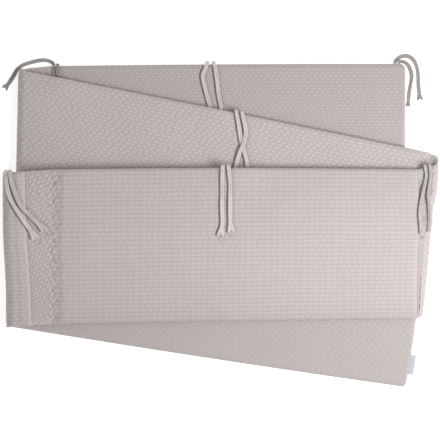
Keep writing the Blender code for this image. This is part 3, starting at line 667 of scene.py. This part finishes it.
def sheet_mesh(rows, finely, flip, faces, indices):
    """Adds one sheet's faces: small cells where it shows, joined blocks where it is hidden."""
    first, last = rows
    row_edges = list(range(first, last, BLOCK)) + [last]
    column_edges = list(range(0, finely.shape[1] - 1, BLOCK)) + [finely.shape[1] - 1]
    row_blocks = list(zip(row_edges, row_edges[1:]))
    column_blocks = list(zip(column_edges, column_edges[1:]))
    shows = np.array([
        [finely[r0:r1 + 1, c0:c1 + 1].any() for c0, c1 in column_blocks] for r0, r1 in row_blocks
    ])
    height_blocks, width_blocks = shows.shape

    def side_steps(start, end, block_row, block_column):
        outside = not (0 <= block_row < height_blocks and 0 <= block_column < width_blocks)
        if outside or shows[block_row, block_column]:
            return range(start, end, 1 if end > start else -1)
        return (start,)

    for i, (r0, r1) in enumerate(row_blocks):
        for j, (c0, c1) in enumerate(column_blocks):
            if shows[i, j]:
                for r in range(r0, r1):
                    for c in range(c0, c1):
                        cell = [indices[r, c], indices[r + 1, c], indices[r + 1, c + 1], indices[r, c + 1]]
                        faces.append(cell[::-1] if flip else cell)
                continue
            loop = [indices[r, c0] for r in side_steps(r0, r1, i, j - 1)]
            loop += [indices[r1, c] for c in side_steps(c0, c1, i + 1, j)]
            loop += [indices[r, c1] for r in side_steps(r1, r0, i, j + 1)]
            loop += [indices[r0, c] for c in side_steps(c1, c0, i - 1, j)]
            faces.append(loop[::-1] if flip else loop)


def new_piece(name, vertices, faces, material, values=None):
    """One smooth-shaded piece with named numbers on its points."""
    mesh = bpy.data.meshes.new(name)
    mesh.from_pydata(vertices, [], faces)
    mesh.polygons.foreach_set("use_smooth", [True] * len(mesh.polygons))
    for key, numbers in (values or {}).items():
        attribute = mesh.attributes.new(key, "FLOAT", "POINT")
        attribute.data.foreach_set("value", numbers)
    mesh.materials.append(material)
    mesh.update()
    piece = bpy.data.objects.new(name, mesh)
    bpy.context.scene.collection.objects.link(piece)
    return piece


# Materials

PATCH_SCALE = 7.0
PATCH_SHARE = 0.35
FIBRE_SCALE = 620.0
THREAD_SHARE = -0.8


def node(tree, kind, **settings):
    made = tree.nodes.new(kind)
    for key, value in settings.items():
        if key in made.inputs:
            made.inputs[key].default_value = value
        else:
            setattr(made, key, value)
    return made


def cloth(name, light, dark, roughness, sheen, speckle, grain_size, grain_depth):
    """Matte cloth: darker between its bubbles as painted shade, with soft tone changes and a fine thread
    grain.
    """
    material = bpy.data.materials.new(name)
    material.use_nodes = True
    tree = material.node_tree
    shader = tree.nodes["Principled BSDF"]
    shader.inputs["Roughness"].default_value = roughness
    shader.inputs["Sheen Weight"].default_value = sheen
    shader.inputs["Sheen Roughness"].default_value = 0.6
    shader.inputs["Specular IOR Level"].default_value = 0.25
    link = tree.links.new
    place = node(tree, "ShaderNodeTexCoord")
    hills = node(tree, "ShaderNodeAttribute", attribute_name="puff")
    patches = node(tree, "ShaderNodeTexNoise", Scale=PATCH_SCALE, Detail=3.0)
    fibres = node(tree, "ShaderNodeTexNoise", Scale=FIBRE_SCALE, Detail=3.0, Roughness=0.6)
    for noise in (patches, fibres):
        link(place.outputs["Object"], noise.inputs["Vector"])
    tone = node(tree, "ShaderNodeMath", operation="MULTIPLY_ADD")
    link(patches.outputs["Fac"], tone.inputs[0])
    tone.inputs[1].default_value = PATCH_SHARE
    link(hills.outputs["Fac"], tone.inputs[2])
    grain = node(tree, "ShaderNodeMath", operation="MULTIPLY_ADD")
    link(fibres.outputs["Fac"], grain.inputs[0])
    grain.inputs[1].default_value = speckle
    link(tone.outputs[0], grain.inputs[2])
    spread = node(tree, "ShaderNodeMapRange")
    least = 0.5 * PATCH_SHARE + 0.5 * speckle
    spread.inputs["From Min"].default_value = least
    spread.inputs["From Max"].default_value = 1.0 + least
    link(grain.outputs[0], spread.inputs["Value"])
    mix = node(tree, "ShaderNodeMix", data_type="RGBA")
    link(spread.outputs["Result"], mix.inputs["Factor"])
    for socket in mix.inputs:
        if socket.type == "RGBA":
            socket.default_value = (*(dark if socket.name == "A" else light), 1.0)
    colour = [socket for socket in mix.outputs if socket.type == "RGBA"][0]
    link(colour, shader.inputs["Base Color"])
    thread = node(tree, "ShaderNodeTexVoronoi", Scale=1.0 / grain_size)
    link(place.outputs["Object"], thread.inputs["Vector"])
    heights = node(tree, "ShaderNodeMath", operation="MULTIPLY_ADD")
    link(thread.outputs["Distance"], heights.inputs[0])
    heights.inputs[1].default_value = THREAD_SHARE
    link(fibres.outputs["Fac"], heights.inputs[2])
    bump = node(tree, "ShaderNodeBump")
    bump.inputs["Strength"].default_value = 0.5
    bump.inputs["Distance"].default_value = grain_depth
    link(heights.outputs[0], bump.inputs["Height"])
    link(bump.outputs["Normal"], shader.inputs["Normal"])
    return material


# Pale and dark colour, roughness, sheen, speckle, size and depth of the thread grain
bubble_cloth = cloth(
    "bubble_cloth", (0.56, 0.513, 0.500), (0.425, 0.386, 0.374), 0.92, 0.10, 0.20, 0.0011, 0.00022,
)
tape_cloth = cloth(
    "tape_cloth", (0.60, 0.560, 0.545), (0.20, 0.185, 0.178), 0.9, 0.10, 0.22, 0.0009, 0.00018,
)
ribbon = cloth("ribbon", (0.47, 0.505, 0.52), (0.34, 0.370, 0.39), 0.55, 0.05, 0.10, 0.0006, 0.00008)
floor_paint = bpy.data.materials.new("floor_paint")
floor_paint.use_nodes = True
floor_shader = floor_paint.node_tree.nodes["Principled BSDF"]
floor_shader.inputs["Base Color"].default_value = (0.93, 0.93, 0.93, 1.0)
floor_shader.inputs["Roughness"].default_value = 0.9
floor_shader.inputs["Emission Color"].default_value = (1.0, 1.0, 1.0, 1.0)
floor_shader.inputs["Emission Strength"].default_value = 0.5

# Camera, floor and lights

camera_data = bpy.data.cameras.new("camera")
camera_data.sensor_width = SENSOR
camera_data.lens = SENSOR * CAMERA_PLACE[2] / VIEW_WIDTH
camera_data.clip_end = 50.0
camera = bpy.data.objects.new("camera", camera_data)
camera.location = CAMERA_PLACE
bpy.context.scene.collection.objects.link(camera)
bpy.context.scene.camera = camera

floor = new_piece("floor", [(-6, -6, 0), (6, -6, 0), (6, 6, 0), (-6, 6, 0)], [[0, 1, 2, 3]], floor_paint)

light_data = bpy.data.lights.new("key", "AREA")
light_data.shape = "SQUARE"
light_data.size = KEY_WIDTH
light_data.energy = KEY_POWER
light = bpy.data.objects.new("key", light_data)
light.location = KEY_PLACE
light.rotation_euler = (-Vector(KEY_PLACE)).to_track_quat("-Z", "Y").to_euler()
bpy.context.scene.collection.objects.link(light)
world = bpy.data.worlds.new("studio")
world.use_nodes = True
world.node_tree.nodes["Background"].inputs["Color"].default_value = (1.0, 1.0, 1.0, 1.0)
world.node_tree.nodes["Background"].inputs["Strength"].default_value = SKY_STRENGTH
bpy.context.scene.world = world
bpy.context.scene.view_settings.view_transform = "Standard"

# The lines of the ties

cad_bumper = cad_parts["bumper"]
bumper_tree = BVHTree.FromPolygons(
    [vertex.co.copy() for vertex in cad_bumper.data.vertices],
    [tuple(polygon.vertices) for polygon in cad_bumper.data.polygons],
)


def layer_top(layer, x, y):
    if layer == "floor":
        return 0.0
    above = float(height(layer, np.array((x, y)))) + PROBE_HEIGHT
    hit = bumper_tree.ray_cast(Vector((x, y, above)), Vector((0.0, 0.0, -1.0)), 2.0 * PAD)
    return None if hit[0] is None else hit[0].z


def curve_through(points):
    """Evenly spaced points on a smooth curve through the given ones."""
    points = [np.array(point) for point in points]
    padded = [2.0 * points[0] - points[1]] + points + [2.0 * points[-1] - points[-2]]
    fine = []
    for before, start, end, after in zip(padded, padded[1:], padded[2:], padded[3:]):
        for share in np.linspace(0.0, 1.0, CURVE_STEPS, endpoint=False):
            bend = 2.0 * before - 5.0 * start + 4.0 * end - after
            twist = 3.0 * (start - end) + after - before
            fine.append(start + 0.5 * share * ((end - before) + share * (bend + share * twist)))
    fine.append(points[-1])
    fine = np.array(fine)
    distance = np.concatenate(((0.0,), np.cumsum(np.linalg.norm(fine[1:] - fine[:-1], axis=1))))
    count = round(distance[-1] / TAPE_ROWS)
    even = np.linspace(0.0, distance[-1], count + 1)
    tip = [distance[-1] - gap for gap in TIP_GAPS]
    even = np.concatenate((even[even < distance[-1] - TIP_CLEAR], sorted(tip)))
    return np.stack([np.interp(even, distance, fine[:, axis]) for axis in range(3)], axis=1)


def tape_sizes(distance, total, width, end_rows):
    left, widths, depths = zip(*end_rows)
    wide = width
    deep = TAPE - 0.0002
    from_tip = total - distance
    if from_tip < left[-1]:
        wide = float(np.interp(from_tip, left, widths))
        deep = float(np.interp(from_tip, left, depths))
    root = float(smooth(distance / ROOT_REACH))
    return wide + (ROOT_WIDTH - wide) * (1.0 - root), deep


def way_out(rim, layer, x, steps):
    best = None
    for start, end in zip(rim, rim[1:]):
        if (start[0] - x) * (end[0] - x) > 0.0 or start[0] == end[0]:
            continue
        point = start + (end - start) * ((x - start[0]) / (end[0] - start[0]))
        off = abs(point[2] - float(height(layer, point[:2])))
        if best is None or off < best[0]:
            best = (off, point, end - start)
    _, seam, along = best
    outward = unit(np.array((-along[1], along[0])) * math.copysign(1.0, along[0]))
    return [(*(seam[:2] + outward * out), seam[2] + rise) for out, rise in steps]


def tape_sides(path):
    tangents = unit(np.gradient(path, axis=0))
    sides = np.zeros_like(path)
    side = np.array((tangents[-1][1], -tangents[-1][0], 0.0))
    for index in range(len(path) - 1, -1, -1):
        side = side - tangents[index] * float(side @ tangents[index])
        side[2] *= LEVEL_DAMPING
        side = side / np.linalg.norm(side)
        sides[index] = side
    return sides


def tie_path(rim, name):
    """Middle line of a tie, laid on its layer, with its width and thickness at each point."""
    root_layer, root_x, steps, layer, end_rows, width, route = TIES[name]
    points = way_out(rim, root_layer, root_x, steps)
    points += [(x, y, layer_top(layer, x, y) + TAPE / 2.0 + SEAT_GAP) for x, y in route]
    path = curve_through(points)
    first_laid = int(np.argmin(np.linalg.norm(path - np.array(points[len(steps)]), axis=1)))
    distance = np.concatenate(((0.0,), np.cumsum(np.linalg.norm(path[1:] - path[:-1], axis=1))))
    sizes = [tape_sizes(gone, distance[-1], width, end_rows) for gone in distance]
    sides = tape_sides(path)
    for index in range(first_laid, len(path)):
        wide, deep = sizes[index]
        tops = []
        for share in PROBE_SHARES:
            probe = path[index] + sides[index] * (wide * share)
            tops.append(layer_top(layer, probe[0], probe[1]))
        seat = max(top for top in tops if top is not None)
        lift = 0.0
        for crossing, x, y, rise, spread in TIE_CROSSINGS:
            if crossing == name:
                lift = rise * float(bell((path[index][0] - x) / spread, (path[index][1] - y) / spread))
        path[index][2] = seat + max(deep, TAPE) / 2.0 + SEAT_GAP + lift + TIE_LIFT * (layer != "floor")
    return path, tape_sides(path), sizes, distance


def tie_grooves(surface, shown, tags):
    """How far the ties press the cloth down just beside them."""
    pressed = np.zeros(surface.shape[:2])
    tag_rows = {layer: [row for row, tag in enumerate(tags) if tag == layer] for layer in "abcd"}
    for name, (path, sides, sizes, _) in laid_ties.items():
        layer = TIES[name][3]
        if layer == "floor":
            continue
        rows = np.array(tag_rows[layer])
        plan = surface[rows][:, :, :2]
        low = path[:, :2].min(axis=0) - 0.02
        high = path[:, :2].max(axis=0) + 0.02
        near = ((plan > low) & (plan < high)).all(axis=-1)
        points = plan[near]
        away = points[:, None, :] - path[None, :, :2]
        distance = np.linalg.norm(away, axis=-1)
        nearest = distance.argmin(axis=1)
        closest = distance[np.arange(len(points)), nearest]
        beside = (away[np.arange(len(points)), nearest] * sides[nearest, :2]).sum(axis=-1)
        half = 0.5 * np.array([wide for wide, _ in sizes])[nearest]
        depth = GROOVE_DEPTH * np.exp(-(((np.abs(closest - half) - GROOVE_OUT) / GROOVE_REACH) ** 2))
        depth *= np.where(beside > 0.0, 1.0, FAR_GROOVE)
        values = np.zeros(near.shape)
        values[near] = depth
        pressed[rows] = np.maximum(pressed[rows], values)
    return pressed * shown


# The strip

places = strip_columns()
low_edge = STRIP_WIDTH - places
edges = np.minimum(places, low_edge)
grid, tags, flat, pieces, lines = strip_grid(places / STRIP_WIDTH)
normals = grid_normals(grid)
travelled = travelled_along(grid)
laid_ties = {name: tie_path(grid[:, 0], name) for name in TIES}
half, crown = half_thickness(travelled, edges, pieces, lines)
upward = normals[:, :, 2]
lean = 1.0 - flat[:, None] * (1.0 - np.abs(upward))
sheets = {
    "front": grid + normals * ((half + crown * (upward > 0.0)) * lean)[:, :, None],
    "back": grid - normals * ((half + crown * (upward <= 0.0)) * lean)[:, :, None],
}
middle_column = len(places) // 2
along_strip = np.repeat(travelled[:, middle_column:middle_column + 1], len(places), axis=1)

covered = np.full(grid.shape[:2], -1.0)
for row, tag in enumerate(tags):
    for above in OVER.get(tag, ""):
        covered[row] = np.maximum(covered[row], -outline_distance(grid[row, :, :2], OUTLINES[above]))

finest = {}
puffs = {}
for sheet, surface in sheets.items():
    sign = 1.0 if sheet == "front" else -1.0
    shown = np.zeros(grid.shape[:2])
    for row, tag in enumerate(tags):
        if tag in OUTER_SHEET:
            shown[row] = 1.0 if OUTER_SHEET[tag] == sheet else 0.0
        elif UPPER_SHEET[tag] == sheet:
            shown[row] = 1.0 - smooth((covered[row] - COVERED_FROM) / COVERED_REACH)
    for name in FOLDS:
        if OUTER_SHEET[name] == sheet:
            beyond = np.abs(travelled - travelled[lines[name]])
            shown = np.maximum(shown, 1.0 - smooth((beyond - FOLD_SHOWN) / COVERED_REACH))
    rims = (edges < RIM_FINE)[None, :] & (covered < RIM_COVERED)
    finest[sheet] = (shown > 0.01) | rims

    step = np.linalg.norm(surface[:, 1:] - surface[:, :-1], axis=-1).mean(axis=0)
    sideways = np.concatenate(((0.0,), np.cumsum(step)))
    sideways = np.repeat((sideways - sideways[-1] / 2.0)[None, :], len(grid), axis=0)
    outward = grid_normals(surface) * sign
    puff = np.zeros(grid.shape[:2])
    lift = np.zeros(grid.shape[:2])
    for piece, (first, last) in pieces.items():
        rows = slice(first, last + 1)
        wave, tall, tone = bubbles(piece, sheet, along_strip[rows], sideways[rows])
        before = travelled[rows] - travelled[first]
        after = travelled[last] - travelled[rows]
        fade = np.ones_like(before)
        for line, distance in ((first, before), (last, after)):
            band = 0.0
            for name, width in SMOOTH_BANDS.items():
                if lines.get(name) == line and piece in ("panel_a", "panel_d"):
                    band = width
            if line not in [lines[name] for name in SOFT_LINES]:
                fade = fade * smooth((distance - band) / SEAM_FADE)
        fade = fade * smooth(edges / EDGE_FADE)[None, :]
        weight = fade * shown[rows]
        # painted shade: the cloth darker between the bubbles and paler on them, plus each panel's painted
        # tone
        puff[rows] = GROUND + (wave - GROUND) * weight * BUBBLE_PAINTED_SHADE_SHARES.get(piece, 1.0) + tone
        # painted shade toward the lower edges of C and D
        puff[rows] -= LOW_EDGE_PAINTED_SHADES.get(piece, 0.0) * np.exp(-low_edge / LOW_PAINTED_SHADE_REACH)[None, :]
        lift[rows] = (wave - BUBBLE_MIDDLE) * tall * weight
        pucker = np.exp(-edges / PUCKER_REACH)[None, :] * smooth(edges / PUCKER_START)[None, :]
        puckers = ripple(along_strip[rows], sideways[rows] * PUCKER_STRETCH, PUCKER_SIZE, 5.0)
        lift[rows] += PUCKER_HEIGHT * pucker * puckers * shown[rows]
        for name, rise, reach, size in GATHERS:
            if lines[name] in (first, last):
                near = np.exp(-(before if lines[name] == first else after) / reach)
                folds = ripple(along_strip[rows] * GATHER_STRETCH, sideways[rows], size, 7.0)
                lift[rows] += rise * near * folds * shown[rows] * smooth(edges / GATHER_EDGE)[None, :]
                # painted shade and highlight following the gathers' folds
                puff[rows] += GATHER_PAINTED_LIGHT * near * folds * shown[rows]
        if piece == "hinge_2" and sheet == "front":
            creases = crease_lift(surface[rows]) * smooth(edges / CREASE_EDGE)[None, :]
            creases = creases * smooth(before / CREASE_START)
            lift[rows] += creases
            # painted shade in the crease hollows and painted highlight on their ridges
            puff[rows] += CREASE_PAINTED_LIGHT * creases
    lift -= tie_grooves(surface, shown, tags)
    sheets[sheet] = surface + outward * lift[:, :, None]
    puffs[sheet] = puff

for sheet in sheets:
    sheets[sheet][:, 0] = grid[:, 0]
    sheets[sheet][:, -1] = grid[:, -1]
    sheets[sheet][0] = grid[0]
    sheets[sheet][-1] = grid[-1]

for piece, (first, last) in pieces.items():
    indices = {"front": np.zeros(grid.shape[:2], dtype=int), "back": np.zeros(grid.shape[:2], dtype=int)}
    count = (last + 1 - first) * len(places)
    numbering = np.arange(count).reshape(last + 1 - first, len(places))
    indices["front"][first:last + 1] = numbering
    indices["back"][first:last + 1] = numbering + count
    indices["back"][first:last + 1, 0] = numbering[:, 0]
    indices["back"][first:last + 1, -1] = numbering[:, -1]
    if first == 0:
        indices["back"][0] = numbering[0]
    if last == len(grid) - 1:
        indices["back"][last] = numbering[-1]
    faces = []
    for sheet in sheets:
        sheet_mesh((first, last), finest[sheet], sheet == "back", faces, indices[sheet])
    points = np.concatenate([sheets[sheet][first:last + 1].reshape(-1, 3) for sheet in ("front", "back")])
    heights = np.concatenate([puffs[sheet][first:last + 1].ravel() for sheet in ("front", "back")])
    used = np.zeros(len(points), dtype=bool)
    used[np.concatenate([np.array(face) for face in faces])] = True
    renumber = np.cumsum(used) - 1
    faces = [[int(renumber[index]) for index in face] for face in faces]
    made = new_piece(piece, points[used].tolist(), faces, bubble_cloth, {"puff": heights[used]})
    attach(made, "root")
    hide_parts("bumper")


# Tapes

def tape_piece(name, path, sides, sizes, distance):
    """Creased flat tape swept along its middle line, open and fanned at its end."""
    tangents = unit(np.gradient(path, axis=0))
    seed = float(sum(map(ord, name)) % 17)
    width = TIES[name][5]
    rings = []
    puff = []
    for point, side, tangent, (wide, deep), gone in zip(path, sides, tangents, sizes, distance):
        level = unit(side - tangent * float(side @ tangent))
        up = np.cross(level, tangent)
        roll = sum(angle * math.sin(gone / length + share * seed) for angle, length, share in ROLLS)
        roll *= float(smooth((distance[-1] - gone) / ROLL_END))
        turned = level * math.cos(roll) + up * math.sin(roll)
        raised = np.cross(turned, tangent)
        swell = 1.0 + SWELL * math.sin(gone / SWELL_LENGTH + 3.0 * seed) * (gone < distance[-1] - ROLL_END)
        fan = 0.0
        if TIES[name][4] is not PLAIN_END:
            fan = float(smooth((distance[-1] - gone) / -FAN_REACH + 1.0))
        ring = []
        for row in (0, 1):
            for share, above, below in TAPE_SECTION if row == 0 else TAPE_SECTION[-2:0:-1]:
                rise = above if row == 0 else below
                rise += fan * FAN_FOLD * math.cos(FAN_WAVES * share + seed) * (row == 0)
                notch = fan * fan * NOTCH * max(0.0, 1.0 - 1.6 * abs(share + 0.1)) * (wide / width - 0.6)
                place = point + turned * (0.5 * wide * swell * share) + raised * (0.5 * deep * rise)
                ring.append(place - tangent * notch)
                # painted highlight on the raised parts of the tape's section
                tone = TAPE_TONE + TAPE_PAINTED_HIGHLIGHT * max(0.0, rise) - TAPE_TONE_FAN * fan
                # painted shade on the darkened ties
                puff.append(tone + TIE_PAINTED_SHADES.get(name, 0.0))
        rings.append(ring)
    count = len(rings[0])
    top = len(TAPE_SECTION)
    faces = []
    for ring in range(len(path) - 1):
        for corner in range(count):
            following = (corner + 1) % count
            low = ring * count
            faces.append([low + corner, low + following, low + count + following, low + count + corner])
    for start, outward_end in ((0, False), ((len(path) - 1) * count, True)):
        for corner in range(top - 1):
            upper = [start + corner, start + corner + 1]
            lower = [start + (count - corner - 1) % count if corner < top - 2 else start + top - 1]
            lower.append(start + (count - corner) % count)
            cap = list(dict.fromkeys(upper + lower))
            faces.append(cap if outward_end else cap[::-1])
    vertices = [tuple(place) for ring in rings for place in ring]
    return new_piece(name + "_tape", vertices, faces, tape_cloth, {"puff": puff})


for name, (path, sides, sizes, distance) in laid_ties.items():
    made = tape_piece(name, path, sides, sizes, distance)
    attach(made, "root")
    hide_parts(name)


# Label

def label_piece():
    half_share = 0.5 * LABEL_WIDTH / STRIP_WIDTH
    start = across("end_d", LABEL_SHARE - half_share)
    end = across("end_d", LABEL_SHARE + half_share)
    along = unit(end - start)
    outward = np.array((-along[1], along[0]))
    rows, columns = LABEL_ROWS, LABEL_COLUMNS
    front = np.zeros((rows, columns, 3))
    back = np.zeros_like(front)
    puff = []
    for row in range(rows):
        for column in range(columns):
            reach = column / (columns - 1)
            place = row / (rows - 1)
            plan = start + along * (LABEL_WIDTH * place)
            middle = float(height("d", plan)) - LABEL_DROOP * reach * reach
            middle += LABEL_WAVE * math.sin(place * 5.0) * reach
            plan = plan + outward * (SEAT_GAP + LABEL_REACH * reach)
            swell = float(smooth(reach / LABEL_SWELL_SHARE)) * float(round_over(1.0 - reach, LABEL_TIP_SHARE))
            deep = LABEL_THIN + LABEL_SWELL * swell
            from_side = min(place, 1.0 - place)
            deep *= float(round_over(from_side + LABEL_SIDE_START, LABEL_SIDE_SHARE))
            front[row, column] = (plan[0], plan[1], middle + deep / 2.0)
            back[row, column] = (plan[0], plan[1], middle - deep / 2.0)
            puff.append(LABEL_TONE - LABEL_HEM_TONE * (from_side < LABEL_HEM))
    vertices = [tuple(point) for side in (front, back) for point in side.reshape(-1, 3)]
    faces = []
    count = rows * columns
    for row in range(rows - 1):
        for column in range(columns - 1):
            cell = [row * columns + column, row * columns + column + 1]
            cell += [(row + 1) * columns + column + 1, (row + 1) * columns + column]
            faces.append(cell)
            faces.append([count + index for index in reversed(cell)])
    loop = [(row, 0) for row in range(rows)] + [(rows - 1, column) for column in range(1, columns)]
    loop += [(row, columns - 1) for row in range(rows - 2, -1, -1)]
    loop += [(0, column) for column in range(columns - 2, 0, -1)]
    ring = [row * columns + column for row, column in loop]
    for first, second in zip(ring, ring[1:] + ring[:1]):
        faces.append([first, second, second + count, first + count])
    return new_piece("blank_label", vertices, faces, ribbon, {"puff": puff + puff})


label = label_piece()
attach(label, "root")
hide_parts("label")
